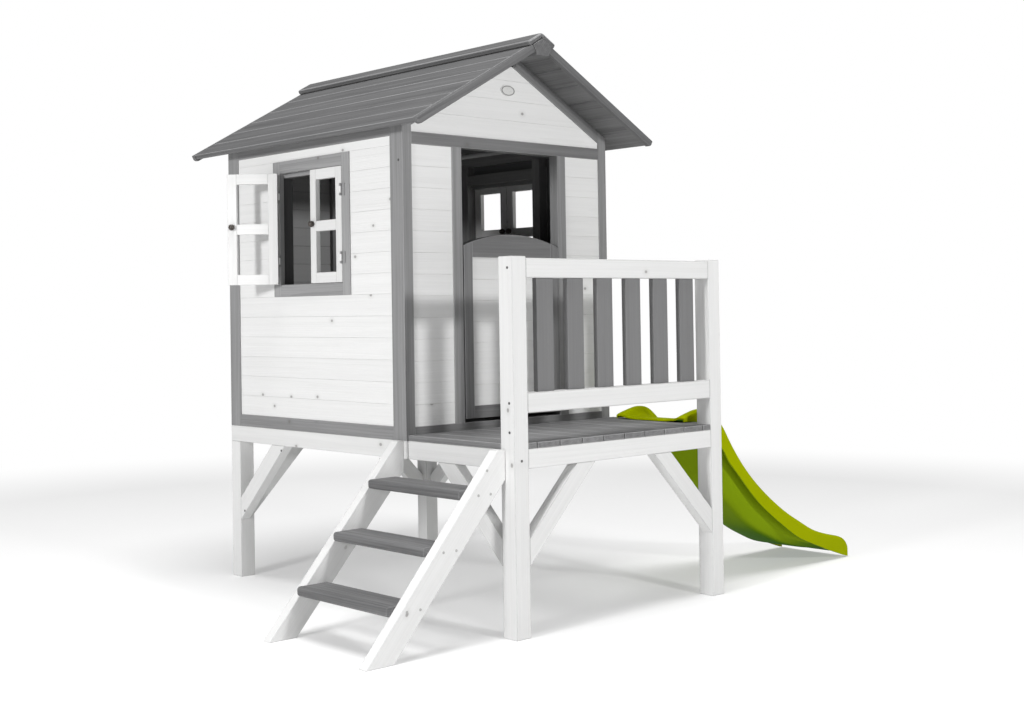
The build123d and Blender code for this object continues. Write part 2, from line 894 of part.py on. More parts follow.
open_x = -hinge_axis_offset
swing = -leaf_open_angle
leaf = window_leaf(0, far_edge - leaf_width, far_edge)
save("left_window_back_leaf", turned(leaf, open_x, far_axis, swing))
save("left_window_back_knobs", turned(leaf_knobs(0, far_knob), open_x, far_axis, swing))
save("left_window_back_hinges", turned(left_far[1], open_x, far_axis, swing))
save("left_window_front_leaf", window_leaf(0, near_edge, near_edge + leaf_width))
save("left_window_front_knobs", leaf_knobs(0, near_knob))
save("left_window_front_hinges", left_near[1])
right_face = house_width - leaf_thickness
save("right_window_back_leaf", window_leaf(right_face, far_edge - leaf_width, far_edge))
save("right_window_back_knobs", leaf_knobs(right_face, far_knob))
save("right_window_back_hinges", right_far[1])
save("right_window_front_leaf", window_leaf(right_face, near_edge, near_edge + leaf_width))
save("right_window_front_knobs", leaf_knobs(right_face, near_knob))
save("right_window_front_hinges", right_near[1])
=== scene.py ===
import bpy
import math
import random
import numpy as np
from mathutils import Matrix, Vector


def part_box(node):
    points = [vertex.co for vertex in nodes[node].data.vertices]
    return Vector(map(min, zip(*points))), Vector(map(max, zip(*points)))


# Looks of the wooden playhouse with a plastic slide. Every board gets its own grain
# direction, eased edges and stained softwood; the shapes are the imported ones.

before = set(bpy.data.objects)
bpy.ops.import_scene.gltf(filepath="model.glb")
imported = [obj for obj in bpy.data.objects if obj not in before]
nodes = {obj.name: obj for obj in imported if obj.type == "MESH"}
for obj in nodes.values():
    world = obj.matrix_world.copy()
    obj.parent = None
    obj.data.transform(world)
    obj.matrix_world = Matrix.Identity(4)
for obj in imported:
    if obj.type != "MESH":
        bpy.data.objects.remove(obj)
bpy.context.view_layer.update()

# Stains, grain colours and paints, linear; the frame white, the back wall's inside, the studs' recess
# colour and two of the greys also carry painted light and shade
WHITE_STAIN = (0.76, 0.76, 0.757)
WHITE_GRAIN = (0.50, 0.50, 0.492)
# frame white: the white stain made darker than the wall white as painted shade, for the frames that
# stand in the open light
FRAME_WHITE_PAINTED_SHADE = (0.71, 0.71, 0.707)
GREY_STAIN = (0.27, 0.27, 0.272)
GREY_GRAIN = (0.155, 0.155, 0.157)
ROOF_STAIN = (0.150, 0.150, 0.152)
ROOF_GRAIN = (0.07, 0.07, 0.072)
DECK_STAIN = (0.225, 0.225, 0.227)
DECK_GRAIN = (0.10, 0.10, 0.102)
TREAD_STAIN = (0.175, 0.175, 0.177)
TREAD_GRAIN = (0.075, 0.075, 0.077)
SLAT_STAIN = (0.185, 0.185, 0.187)
SLAT_GRAIN = (0.15, 0.15, 0.152)
INSIDE_STAIN = (0.13, 0.13, 0.133)
# inside of the back wall: painted light, a paler copy of the inside stain where light through the
# doorway falls
BACK_INSIDE_PAINTED_LIGHT = (0.40, 0.40, 0.40)
# painted shade for the window studs below the head stop, in the window recess
STUD_RECESS_PAINTED_SHADE = (0.055, 0.055, 0.056)
# grey copies: painted shade for front-facing and under-roof trims, painted light for the left window
# frame
GREY_PAINTED_SHADE_STAIN = (0.205, 0.205, 0.207)
GREY_PAINTED_SHADE_GRAIN = (0.115, 0.115, 0.117)
GREY_PAINTED_LIGHT_STAIN = (0.335, 0.335, 0.337)
GREY_PAINTED_LIGHT_GRAIN = (0.20, 0.20, 0.202)
KNOT = (0.16, 0.15, 0.14)
SCREW_PAINT = (0.42, 0.42, 0.41)

# Slide colours: open faces, rubbed streaks, and painted shade for the side faces and the underside
LIME = (0.29, 0.345, 0.0)
LIME_LIGHT = (0.325, 0.375, 0.0)
LIME_RUBBED = (0.34, 0.40, 0.004)
SIDE_LIME_PAINTED_SHADE = (0.20, 0.295, 0.005)
UNDERSIDE_LIME_PAINTED_SHADE = (0.03, 0.115, 0.0)

# Softwood pattern. Scales are per metre of the board, LENGTHWISE values stretch a pattern along
# the grain, and the sizes of a knot's halo and heart are in its own cells
LENGTHWISE = 0.09
FIBRE_LENGTHWISE = 0.012
BAND_LENGTHWISE = 0.03
BEND_SCALE = 9.0
RING_SCALE = 44.0
RING_WOBBLE = 5.0
RING_WOBBLE_SCALE = 0.35
RING_SHARPNESS = 2.2
FIBRE_SCALE = 330.0
BAND_SCALE = 60.0
RING_SHARE = 0.38
FIBRE_SHARE = 0.30
BAND_SHARE = 0.42
KNOT_SCALE = 6.2
KNOT_SPACING = (1.0, 1.35, 0.0)
KNOT_RIPPLE = 0.03
HALO_OUTSIDE = 0.15
HALO_INSIDE = 0.03
HALO_STRENGTH = 0.30
HEART_OUTSIDE = 0.052
HEART_INSIDE = 0.026
HEART_STRENGTH = 0.62
CLOUD_SCALE = 5.0
CLOUD_SHARE = 0.6
GRAIN_DEPTH = 0.0005
INSIDE_GRAIN = 0.6

# Widths of the eased edges, in metres
EASED_WALL = 0.0005
EASED_GREY = 0.0012
EASED_TREAD = 0.0016
EASED_BEAM = 0.0018
EASED_POST = 0.0022
EASED_DECK = 0.0022
EASED_RAIL = 0.003
EASED_ROOF = 0.003
EASED_CAP = 0.006
EASED_LEAF = 0.001

# Masks, in metres: where the inside begins, half of a fade, and the head stop's lap over a leaf, below
# which the studs get painted shade
WALL_SKIN = 0.0125
MASK_BLEND = 0.001
HEAD_STOP_LAP = 0.0135


class Shader:
    """Short way to build one node material."""

    def __init__(self, name):
        self.material = bpy.data.materials.new(name)
        self.material.use_nodes = True
        self.tree = self.material.node_tree
        self.tree.nodes.clear()
        self.output = self.tree.nodes.new("ShaderNodeOutputMaterial")
        self.surface = self.tree.nodes.new("ShaderNodeBsdfPrincipled")
        self.tree.links.new(self.surface.outputs[0], self.output.inputs["Surface"])

    def node(self, kind, inputs=None, **settings):
        made = self.tree.nodes.new("ShaderNode" + kind)
        for key, value in settings.items():
            setattr(made, key, value)
        for key, value in (inputs or {}).items():
            self.put(made.inputs[key], value)
        return made

    def put(self, socket, value):
        if isinstance(value, bpy.types.NodeSocket):
            self.tree.links.new(value, socket)
        else:
            socket.default_value = value

    def math(self, operation, a, b=0.0, clamp=False):
        made = self.node("Math", {0: a, 1: b}, operation=operation, use_clamp=clamp)
        return made.outputs[0]

    def scaled(self, vector, scale):
        made = self.node("VectorMath", {0: vector, 1: scale}, operation="MULTIPLY")
        return made.outputs[0]

    def noise(self, vector, scale, detail=3.0, roughness=0.5):
        inputs = {"Vector": vector, "Scale": scale, "Detail": detail, "Roughness": roughness}
        return self.node("TexNoise", inputs).outputs["Fac"]

    def ramp(self, value, low, high, smooth=True):
        """Value mapped so that low gives 0 and high gives 1."""
        made = self.node("MapRange", {"Value": value, "From Min": low, "From Max": high})
        made.interpolation_type = "SMOOTHSTEP" if smooth else "LINEAR"
        return made.outputs[0]

    def mix(self, amount, a, b, blend="MIX"):
        made = self.node("Mix", data_type="RGBA", blend_type=blend)
        self.put(made.inputs[0], amount)
        self.put(made.inputs[6], a if isinstance(a, bpy.types.NodeSocket) else (*a, 1))
        self.put(made.inputs[7], b if isinstance(b, bpy.types.NodeSocket) else (*b, 1))
        return made.outputs[2]

    def bump(self, height, distance, strength=1.0):
        made = self.node("Bump", {"Height": height, "Distance": distance, "Strength": strength})
        return made.outputs[0]

    def set(self, **values):
        for key, value in values.items():
            self.put(self.surface.inputs[key.replace("_", " ")], value)


def inside_house(shader):
    """1 on faces that look into the house, from the place of the wall boards."""
    low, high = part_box("corner_posts")
    place = shader.node("TexCoord").outputs["Object"]
    parts = shader.node("SeparateXYZ", {0: place}).outputs
    mask = None
    for axis in (0, 1):
        middle = (low[axis] + high[axis]) / 2
        half = (high[axis] - low[axis]) / 2 - WALL_SKIN
        off = shader.math("ABSOLUTE", shader.math("SUBTRACT", parts[axis], middle))
        near = shader.ramp(off, half + MASK_BLEND, half - MASK_BLEND)
        mask = near if mask is None else shader.math("MULTIPLY", mask, near)
    return mask


def recess_shade_mask(shader):
    """1 on the timber round a window below its head stop, where the recess shade is painted, from the
    height of the place.
    """
    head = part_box("left_window_front_leaf")[1].z - HEAD_STOP_LAP
    place = shader.node("TexCoord").outputs["Object"]
    height = shader.node("SeparateXYZ", {0: place}).outputs[2]
    return shader.ramp(height, head + MASK_BLEND, head - MASK_BLEND)


def timber(name, stain, grain, knots, streak, tone, roughness,
           inside=None, edge=1.0, where=inside_house, above=0.0):
    """Stained softwood: growth rings, fibre streaks, knots and a tone of its own for each board.

    inside is the stain where the mask of where is 1; in the back wall it is a paler copy with painted
    light, and below a window's head stop it is painted shade. edge scales the whole tone, and above is
    painted light added to it on faces that look upwards.
    """
    s = Shader(name)
    board = s.node("Attribute", attribute_name="board_place").outputs["Vector"]
    own = s.node("Attribute", attribute_name="board_tone").outputs["Fac"]
    stretched = s.scaled(board, (LENGTHWISE, 1.0, 1.0))
    bend = s.noise(stretched, BEND_SCALE, 2.0)
    wave = {"Vector": stretched, "Scale": RING_SCALE, "Distortion": RING_WOBBLE, "Detail": 2.0,
            "Detail Scale": RING_WOBBLE_SCALE, "Detail Roughness": 0.4}
    rings = s.node("TexWave", wave, wave_type="RINGS", rings_direction="X", wave_profile="SAW")
    late = s.math("POWER", rings.outputs["Fac"], RING_SHARPNESS)
    fibre = s.noise(s.scaled(board, (FIBRE_LENGTHWISE, 1.0, 1.0)), FIBRE_SCALE, 3.0, 0.65)
    band = s.noise(s.scaled(board, (BAND_LENGTHWISE, 1.0, 1.0)), BAND_SCALE, 3.0, 0.55)
    fibres = s.ramp(fibre, 0.35, 0.72)
    bands = s.ramp(band, 0.34, 0.68)
    dark = s.math("MULTIPLY", late, RING_SHARE)
    dark = s.math("ADD", dark, s.math("MULTIPLY", fibres, FIBRE_SHARE))
    dark = s.math("ADD", dark, s.math("MULTIPLY", bands, BAND_SHARE))
    dark = s.math("MULTIPLY", dark, streak, clamp=True)

    cells = s.node(
        "TexVoronoi",
        {"Vector": s.scaled(board, KNOT_SPACING), "Scale": KNOT_SCALE, "Randomness": 0.9},
        voronoi_dimensions="2D",
    )
    chance = s.node("SeparateColor", {0: cells.outputs["Color"]}).outputs[0]
    present = s.ramp(chance, 1.0 - knots, 1.02 - knots)
    ripple = s.math("MULTIPLY", s.math("SUBTRACT", bend, 0.5), KNOT_RIPPLE)
    near = s.math("ADD", cells.outputs["Distance"], ripple)
    halo = s.math("MULTIPLY", s.ramp(near, HALO_OUTSIDE, HALO_INSIDE), present)
    heart = s.math("MULTIPLY", s.ramp(near, HEART_OUTSIDE, HEART_INSIDE), present)

    colour = s.mix(dark, stain, grain)
    colour = s.mix(s.math("MULTIPLY", halo, HALO_STRENGTH), colour, grain)
    colour = s.mix(s.math("MULTIPLY", heart, HEART_STRENGTH), colour, KNOT)
    level = s.math("ADD", s.math("MULTIPLY", s.math("SUBTRACT", own, 0.5), tone), edge)
    cloud = s.noise(board, CLOUD_SCALE, 2.0)
    level = s.math("ADD", level, s.math("MULTIPLY", s.math("SUBTRACT", cloud, 0.5), tone * CLOUD_SHARE))
    # painted light: faces that look upwards are made lighter
    if above:
        facing = s.node("SeparateXYZ", {0: s.node("TexCoord").outputs["Normal"]}).outputs[2]
        level = s.math("ADD", level, s.math("MULTIPLY", s.ramp(facing, -0.1, 0.2), above))
    colour = s.node("VectorMath", {0: colour, "Scale": level}, operation="SCALE").outputs[0]
    if inside:
        stained = s.mix(dark, inside, tuple(c * INSIDE_GRAIN for c in inside))
        colour = s.mix(where(s), colour, stained)
    height = s.math("ADD", s.math("MULTIPLY", late, 0.5), s.math("MULTIPLY", fibres, 0.6))
    height = s.math("SUBTRACT", height, s.math("MULTIPLY", heart, 0.8))
    rough = s.math("ADD", s.math("MULTIPLY", fibres, 0.14), roughness)
    s.set(Base_Color=colour, Roughness=rough, Normal=s.bump(height, GRAIN_DEPTH, 0.7))
    s.surface.inputs["Specular IOR Level"].default_value = 0.32
    return s.material


def slide_plastic():
    """Lime moulded plastic: fine skin texture, rub marks down the bed, and painted shade that makes
    faces turned down darker and greener.
    """
    s = Shader("lime_slide_plastic")
    place = s.node("TexCoord").outputs["Object"]
    cloud = s.noise(place, 3.0, 3.0)
    pebble = s.noise(place, 420.0, 2.0)
    rub = s.noise(s.scaled(place, (2.0, 90.0, 6.0)), 6.0, 4.0, 0.6)
    marks = s.ramp(rub, 0.56, 0.72)
    colour = s.mix(s.ramp(cloud, 0.3, 0.7), LIME, LIME_LIGHT)
    colour = s.mix(s.math("MULTIPLY", marks, 0.18), colour, LIME_RUBBED)
    rough = s.math("ADD", s.math("MULTIPLY", cloud, 0.08), 0.42)
    rough = s.math("ADD", s.math("MULTIPLY", marks, 0.12), rough)
    normal = s.bump(s.math("ADD", pebble, s.math("MULTIPLY", cloud, 0.4)), 0.0004, 0.5)
    facing = s.node("SeparateXYZ", {0: s.node("TexCoord").outputs["Normal"]}).outputs[2]
    # painted shade: faces turned down get darker, greener colours, darkest underneath
    colour = s.mix(s.ramp(facing, 0.0, -0.2), colour, SIDE_LIME_PAINTED_SHADE)
    colour = s.mix(s.ramp(facing, -0.68, -0.97), colour, UNDERSIDE_LIME_PAINTED_SHADE)
    s.set(Base_Color=colour, Roughness=rough, Normal=normal)
    s.surface.inputs["Subsurface Weight"].default_value = 0.05
    s.surface.inputs["Subsurface Radius"].default_value = (0.006, 0.006, 0.002)
    s.surface.inputs["Specular IOR Level"].default_value = 0.01
    s.surface.inputs["Specular Tint"].default_value = (0.9, 1.0, 0.25, 1.0)
    return s.material


def zinc():
    """Dull zinc plate with fine spangle and small stains."""
    s = Shader("dull_zinc")
    place = s.node("TexCoord").outputs["Object"]
    cells = s.node("TexVoronoi", {"Vector": place, "Scale": 700.0})
    flake = s.node("SeparateColor", {0: cells.outputs["Color"]}).outputs[0]
    stain = s.ramp(s.noise(place, 260.0, 3.0), 0.45, 0.7)
    colour = s.mix(flake, (0.40, 0.41, 0.42), (0.52, 0.53, 0.54))
    colour = s.mix(s.math("MULTIPLY", stain, 0.5), colour, (0.22, 0.21, 0.20))
    rough = s.math("ADD", s.math("MULTIPLY", stain, 0.15), 0.34)
    rough = s.math("ADD", s.math("MULTIPLY", flake, 0.12), rough)
    s.set(Base_Color=colour, Roughness=rough, Normal=s.bump(stain, 0.0002, 0.4))
    s.surface.inputs["Metallic"].default_value = 0.85
    return s.material


def painted_metal(name, paint):
    """Hinge or screw painted over with the stain of the wood round it, chipped here and there."""
    s = Shader(name)
    place = s.node("TexCoord").outputs["Object"]
    brush = s.noise(s.scaled(place, (1.0, 1.0, 0.15)), 420.0, 3.0, 0.6)
    chips = s.ramp(s.noise(place, 330.0, 3.0, 0.6), 0.62, 0.68)
    colour = s.mix(s.ramp(brush, 0.35, 0.7), paint, tuple(c * 0.84 for c in paint))
    colour = s.mix(s.math("MULTIPLY", chips, 0.6), colour, (0.20, 0.20, 0.20))
    rough = s.math("ADD", s.math("MULTIPLY", brush, 0.2), 0.42)
    height = s.math("SUBTRACT", s.math("MULTIPLY", brush, 0.3), chips)
    s.set(Base_Color=colour, Roughness=rough, Normal=s.bump(height, 0.0002, 0.5))
    return s.material


def screw_steel():
    """Dark screw heads, dulled by weather."""
    s = Shader("dark_screw_steel")
    place = s.node("TexCoord").outputs["Object"]
    stain = s.ramp(s.noise(place, 500.0, 3.0), 0.4, 0.65)
    colour = s.mix(stain, (0.16, 0.16, 0.165), (0.08, 0.075, 0.07))
    rough = s.math("ADD", s.math("MULTIPLY", stain, 0.25), 0.4)
    s.set(Base_Color=colour, Roughness=rough, Normal=s.bump(stain, 0.0002, 0.4))
    s.surface.inputs["Metallic"].default_value = 0.6
    return s.material


def knob_wood():
    """Dark turned knob with faint rings round its axis."""
    s = Shader("dark_knob")
    place = s.node("TexCoord").outputs["Object"]
    grain = s.noise(s.scaled(place, (1.0, 1.0, 0.2)), 380.0, 3.0, 0.6)
    worn = s.ramp(s.noise(place, 140.0, 2.0), 0.5, 0.75)
    colour = s.mix(s.ramp(grain, 0.35, 0.7), (0.030, 0.024, 0.020), (0.058, 0.046, 0.038))
    colour = s.mix(s.math("MULTIPLY", worn, 0.4), colour, (0.12, 0.10, 0.085))
    rough = s.math("ADD", s.math("MULTIPLY", grain, 0.2), 0.28)
    s.set(Base_Color=colour, Roughness=rough, Normal=s.bump(grain, 0.0002, 0.5))
    return s.material


def plate_paint():
    """Pale oval plate with a darker line pressed round its edge."""
    s = Shader("oval_plate_paint")
    low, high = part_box("gable_plate")
    middle = (low + high) / 2
    half_wide = (high.x - low.x) / 2
    half_high = (high.z - low.z) / 2
    place = s.node("TexCoord").outputs["Object"]
    shifted = s.node("VectorMath", {0: place, 1: tuple(middle)}, operation="SUBTRACT").outputs[0]
    oval = s.scaled(shifted, (1 / half_wide, 0.0, 1 / half_high))
    far = s.node("VectorMath", {0: oval}, operation="LENGTH").outputs["Value"]
    line = s.math("MULTIPLY", s.ramp(far, 0.76, 0.82), s.ramp(far, 0.95, 0.90))
    speck = s.noise(place, 300.0, 3.0)
    paint = s.mix(s.ramp(speck, 0.4, 0.7), (0.66, 0.66, 0.65), (0.58, 0.58, 0.57))
    colour = s.mix(s.math("MULTIPLY", line, 0.85), paint, (0.12, 0.12, 0.12))
    rough = s.math("ADD", s.math("MULTIPLY", speck, 0.2), 0.35)
    height = s.math("SUBTRACT", s.math("MULTIPLY", speck, 0.2), line)
    s.set(Base_Color=colour, Roughness=rough, Normal=s.bump(height, 0.0006, 0.6))
    return s.material


# Boards: each closed solid gets its own place, grain direction and tone


def solids_of(mesh):
    """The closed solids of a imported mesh, each a list of its faces."""
    welded = {}
    keys = [welded.setdefault(tuple(round(c * 1e6) for c in v.co), len(welded)) for v in mesh.vertices]
    solids, current, unpaired = [], [], set()
    for face in mesh.polygons:
        current.append(face)
        ring = [keys[i] for i in face.vertices]
        for a, b in zip(ring, ring[1:] + ring[:1]):
            if a != b:
                unpaired ^= {(min(a, b), max(a, b))}
        if not unpaired:
            solids.append(current)
            current = []
    if current:
        solids.append(current)
    return solids, keys


def board_axes(mesh, faces, keys):
    """Directions along, across and through a board, from its longest edge and largest face."""
    sides, area = {}, {}
    for face in faces:
        normal = tuple(round(c, 2) + 0.0 for c in face.normal)
        area[normal] = area.get(normal, 0) + face.area
        ring = list(face.vertices)
        for a, b in zip(ring, ring[1:] + ring[:1]):
            pair = (min(keys[a], keys[b]), max(keys[a], keys[b]))
            sides.setdefault(pair, []).append((normal, mesh.vertices[b].co - mesh.vertices[a].co))
    longest = Vector((0, 0, 0))
    for found in sides.values():
        if len({normal for normal, _ in found}) > 1 and found[0][1].length > longest.length + 1e-6:
            longest = found[0][1]
    along = longest.normalized()
    if max(along, key=abs) < 0:
        along = -along
    through = Vector((0, 0, 0))
    best = -1
    for normal, size in sorted(area.items()):
        if size > best + 1e-9 and abs(Vector(normal).dot(along)) < 0.5:
            best = size
            through = Vector(normal)
    through = (through - along * through.dot(along)).normalized()
    return along, through.cross(along), through


def mark_boards(node):
    """Keeps each board's own coordinates and tone on the mesh, for the grain. No vertex moves."""
    mesh = nodes[node].data
    solids, keys = solids_of(mesh)
    place = np.zeros((len(mesh.vertices), 3), np.float32)
    tone = np.zeros(len(mesh.vertices), np.float32)
    number = np.zeros(len(mesh.vertices), np.int32)
    for count, faces in enumerate(solids):
        inside = sorted({i for face in faces for i in face.vertices})
        corners = np.array([mesh.vertices[i].co for i in inside])
        middle = (corners.min(0) + corners.max(0)) / 2
        seeded = random.Random(f"{node} {middle.round(3).tolist()}")
        axes = np.array(board_axes(mesh, faces, keys))
        pith = np.array([seeded.uniform(0, 40), seeded.uniform(-0.05, 0.05), seeded.uniform(0.03, 0.14)])
        place[inside] = (corners - middle) @ axes.T + pith
        tone[inside] = seeded.random()
        number[inside] = count + 1
    mesh.attributes.new("board_place", "FLOAT_VECTOR", "POINT").data.foreach_set("vector", place.ravel())
    mesh.attributes.new("board_tone", "FLOAT", "POINT").data.foreach_set("value", tone)
    mesh.attributes.new("board_number", "INT", "POINT").data.foreach_set("value", number)


def joining_group():
    """Geometry nodes that join the loose faces of each board into one closed skin."""
    group = bpy.data.node_groups.new("join_each_board", "GeometryNodeTree")
    group.interface.new_socket("Geometry", in_out="INPUT", socket_type="NodeSocketGeometry")
    group.interface.new_socket("Geometry", in_out="OUTPUT", socket_type="NodeSocketGeometry")

    def add(kind, **settings):
        made = group.nodes.new(kind)
        for key, value in settings.items():
            setattr(made, key, value)
        return made

    start = group.nodes.new("NodeGroupInput")
    end = group.nodes.new("NodeGroupOutput")
    number = add("GeometryNodeInputNamedAttribute", data_type="INT")
    number.inputs["Name"].default_value = "board_number"
    split = add("GeometryNodeSplitToInstances", domain="POINT")
    merge = add("GeometryNodeMergeByDistance")
    merge.inputs["Distance"].default_value = 0.00001
    whole = add("GeometryNodeRealizeInstances")
    drop = add("GeometryNodeRemoveAttribute")
    drop.inputs["Name"].default_value = "custom_normal"
    smooth = add("GeometryNodeSetShadeSmooth")
    link = group.links.new
    link(start.outputs[0], drop.inputs["Geometry"])
    link(drop.outputs[0], split.inputs["Geometry"])
    link(number.outputs[0], split.inputs["Group ID"])
    link(split.outputs["Instances"], merge.inputs["Geometry"])
    link(merge.outputs[0], whole.inputs[0])
    link(whole.outputs[0], smooth.inputs[0])
    link(smooth.outputs[0], end.inputs[0])
    return group


def ease_edges(node, width, segments=2):
    """Modifiers that join each board's faces and round its edges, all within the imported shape."""
    shown = nodes[node]
    join = shown.modifiers.new("join", "NODES")
    join.node_group = joined
    flat = shown.modifiers.new("flat", "DECIMATE")
    flat.decimate_type = "DISSOLVE"
    flat.angle_limit = math.radians(0.5)
    flat.use_dissolve_boundaries = False
    bevel = shown.modifiers.new("eased", "BEVEL")
    bevel.width = width
    bevel.segments = segments
    bevel.limit_method = "ANGLE"
    bevel.angle_limit = math.radians(28)
    bevel.harden_normals = True
    bevel.material = 1


def wear(node, face_material, edge_material, width):
    shown = nodes[node]
    shown.data.materials.clear()
    shown.data.materials.append(face_material)
    shown.data.materials.append(edge_material)
    mark_boards(node)
    ease_edges(node, width)


def plain(node, material):
    nodes[node].data.materials.clear()
    nodes[node].data.materials.append(material)


joined = joining_group()
# name, stain, grain, share of knots, streak strength, tone spread, roughness
# frames: white stain with painted shade, darker than the wall white
white = timber("white_frame_stain_and_painted_shade", FRAME_WHITE_PAINTED_SHADE, WHITE_GRAIN, 0.13, 0.24, 0.05, 0.5)
white_edge = timber("white_frame_edge_stain_and_painted_shade", FRAME_WHITE_PAINTED_SHADE, WHITE_GRAIN, 0.0, 0.5, 0.05, 0.55, edge=0.86)
wall = timber("white_wall_boards", WHITE_STAIN, WHITE_GRAIN, 0.15, 0.17, 0.025, 0.5, inside=INSIDE_STAIN)
# the back wall's inside: painted light, a paler copy of the inside stain
back_wall = timber("back_boards_painted_light", WHITE_STAIN, WHITE_GRAIN, 0.15, 0.17, 0.025, 0.5,
                   inside=BACK_INSIDE_PAINTED_LIGHT)
wall_edge = timber("white_wall_edge", WHITE_STAIN, WHITE_GRAIN, 0.0, 0.3, 0.03, 0.6, inside=INSIDE_STAIN)
grey = timber("grey_stained_pine", GREY_STAIN, GREY_GRAIN, 0.10, 0.75, 0.16, 0.52)
# the left window's studs: painted shade below the head stop, in the window recess
stud = timber("window_studs_painted_shade", GREY_STAIN, GREY_GRAIN, 0.0, 0.6, 0.1, 0.55,
              inside=STUD_RECESS_PAINTED_SHADE, where=recess_shade_mask)
# the same grey with painted shade on front-facing and under-roof trims, and with painted light on the
# left window frame
grey_painted_shade = timber("grey_pine_painted_shade", GREY_PAINTED_SHADE_STAIN, GREY_PAINTED_SHADE_GRAIN, 0.08, 0.8, 0.14, 0.52)
grey_painted_light = timber("grey_pine_painted_light", GREY_PAINTED_LIGHT_STAIN, GREY_PAINTED_LIGHT_GRAIN, 0.10, 0.75, 0.14, 0.52)
grey_edge = timber("grey_stained_edge", GREY_STAIN, GREY_GRAIN, 0.0, 0.6, 0.1, 0.55, edge=1.12)
roof = timber("roof_stained_pine", ROOF_STAIN, ROOF_GRAIN, 0.08, 0.85, 0.16, 0.55)
# roof board edges: lighter on faces that look upwards, painted light from above
roof_edge = timber("roof_board_edge_painted_light", ROOF_STAIN, ROOF_GRAIN, 0.0, 0.5, 0.1, 0.6, above=0.9)
deck = timber("deck_stained_pine", DECK_STAIN, DECK_GRAIN, 0.10, 0.95, 0.20, 0.55)
deck_edge = timber("deck_worn_edge", DECK_STAIN, DECK_GRAIN, 0.0, 0.5, 0.1, 0.6, edge=1.35)
tread = timber("tread_stained_pine", TREAD_STAIN, TREAD_GRAIN, 0.10, 0.9, 0.16, 0.55)
tread_edge = timber("tread_eased_edge", TREAD_STAIN, TREAD_GRAIN, 0.0, 0.6, 0.1, 0.6, edge=1.1)
slat = timber("slat_stained_pine", SLAT_STAIN, SLAT_GRAIN, 0.04, 0.5, 0.10, 0.52)

FRAME_NODES = {
    "back_legs": EASED_POST,
    "veranda_posts": EASED_POST,
    "house_beams": EASED_BEAM,
    "veranda_beams": EASED_BEAM,
    "corner_braces": EASED_BEAM,
    "stair_stringers": EASED_BEAM,
    "guard_rails": EASED_RAIL,
    "left_window_back_leaf": EASED_LEAF,
    "left_window_front_leaf": EASED_LEAF,
    "right_window_back_leaf": EASED_LEAF,
    "right_window_front_leaf": EASED_LEAF,
}
WALL_NODES = ("front_wall_boards", "back_wall_boards", "left_wall_boards", "right_wall_boards",
              "front_gable_boards", "back_gable_boards", "door_boards")
GREY_NODES = ("corner_posts", "door_posts", "back_wall_rails", "left_wall_rails", "right_wall_rails",
              "right_window_frame", "right_window_studs")
PAINTED_SHADE_TRIM_NODES = ("door_frame", "front_wall_rails", "rafters")
ROOF_NODES = ("roof_boards_left", "roof_boards_right", "bargeboards", "ridge_beam")
DECK_NODES = ("veranda_deck_boards", "house_floor_boards")

for node, width in FRAME_NODES.items():
    wear(node, white, white_edge, width)
for node in WALL_NODES:
    wear(node, back_wall if node == "back_wall_boards" else wall, wall_edge, EASED_WALL)
for node in GREY_NODES:
    wear(node, grey, grey_edge, EASED_GREY)
for node in ROOF_NODES:
    wear(node, roof, roof_edge if node.startswith("roof") else roof, EASED_ROOF)
for node in DECK_NODES:
    wear(node, deck, deck_edge, EASED_DECK)
wear("ridge_caps", roof, roof_edge, EASED_CAP)
wear("left_window_studs", stud, stud, EASED_GREY)
# front-facing and under-roof trims in the grey with painted shade
for node in PAINTED_SHADE_TRIM_NODES:
    wear(node, grey_painted_shade, grey_edge, EASED_GREY)
# left window frame in the grey with painted light
wear("left_window_frame", grey_painted_light, grey_painted_light, EASED_GREY)
wear("stair_treads", tread, tread_edge, EASED_TREAD)
wear("guard_slats", slat, slat, EASED_TREAD)

plain("slide", slide_plastic())
plain("gable_plate", plate_paint())
steel = zinc()
white_hinge = painted_metal("white_painted_hinge", WHITE_STAIN)
grey_hinge = painted_metal("grey_painted_hinge", GREY_STAIN)
screws = screw_steel()
stair_heads = painted_metal("painted_screw_heads", SCREW_PAINT)
knobs = knob_wood()
for node in nodes:
    if node == "stair_screws":
        plain(node, stair_heads)
    elif node.endswith("_screws"):
        plain(node, screws)
    elif node == "window_hinge_plates":
        plain(node, grey_hinge)
    elif node.endswith("_hinges"):
        plain(node, white_hinge)
    elif "hinge" in node:
        plain(node, steel)
    elif node.endswith("_knobs"):
        plain(node, knobs)

# Floor, world and lamps

FLOOR_RADIUS = 30.0
FLOOR_DROP = 0.0004
FLOOR_RINGS = 24
FLOOR_SPOKES = 96
FLOOR_NEAR = 2.2
FLOOR_FAR = 5.0
FLOOR_GLOW = 0.35
ROOM_LIGHT = 0.13
ROOM_SHOWN = 1.0

# Each lamp's place, the point it looks at, its width in metres and its power in watts
LAMPS = {
    "front_box": ((-0.35, -4.9, 2.17), (-0.2, -0.3, 1.0), 0.42, 94),
    "left_box": ((-6.3, -1.3, 2.4), (-0.67, 0.3, 1.0), 0.95, 212),
    "top_box": ((-1.0, -1.0, 10.0), (0.0, 0.0, 0.6), 5.0, 830),
}


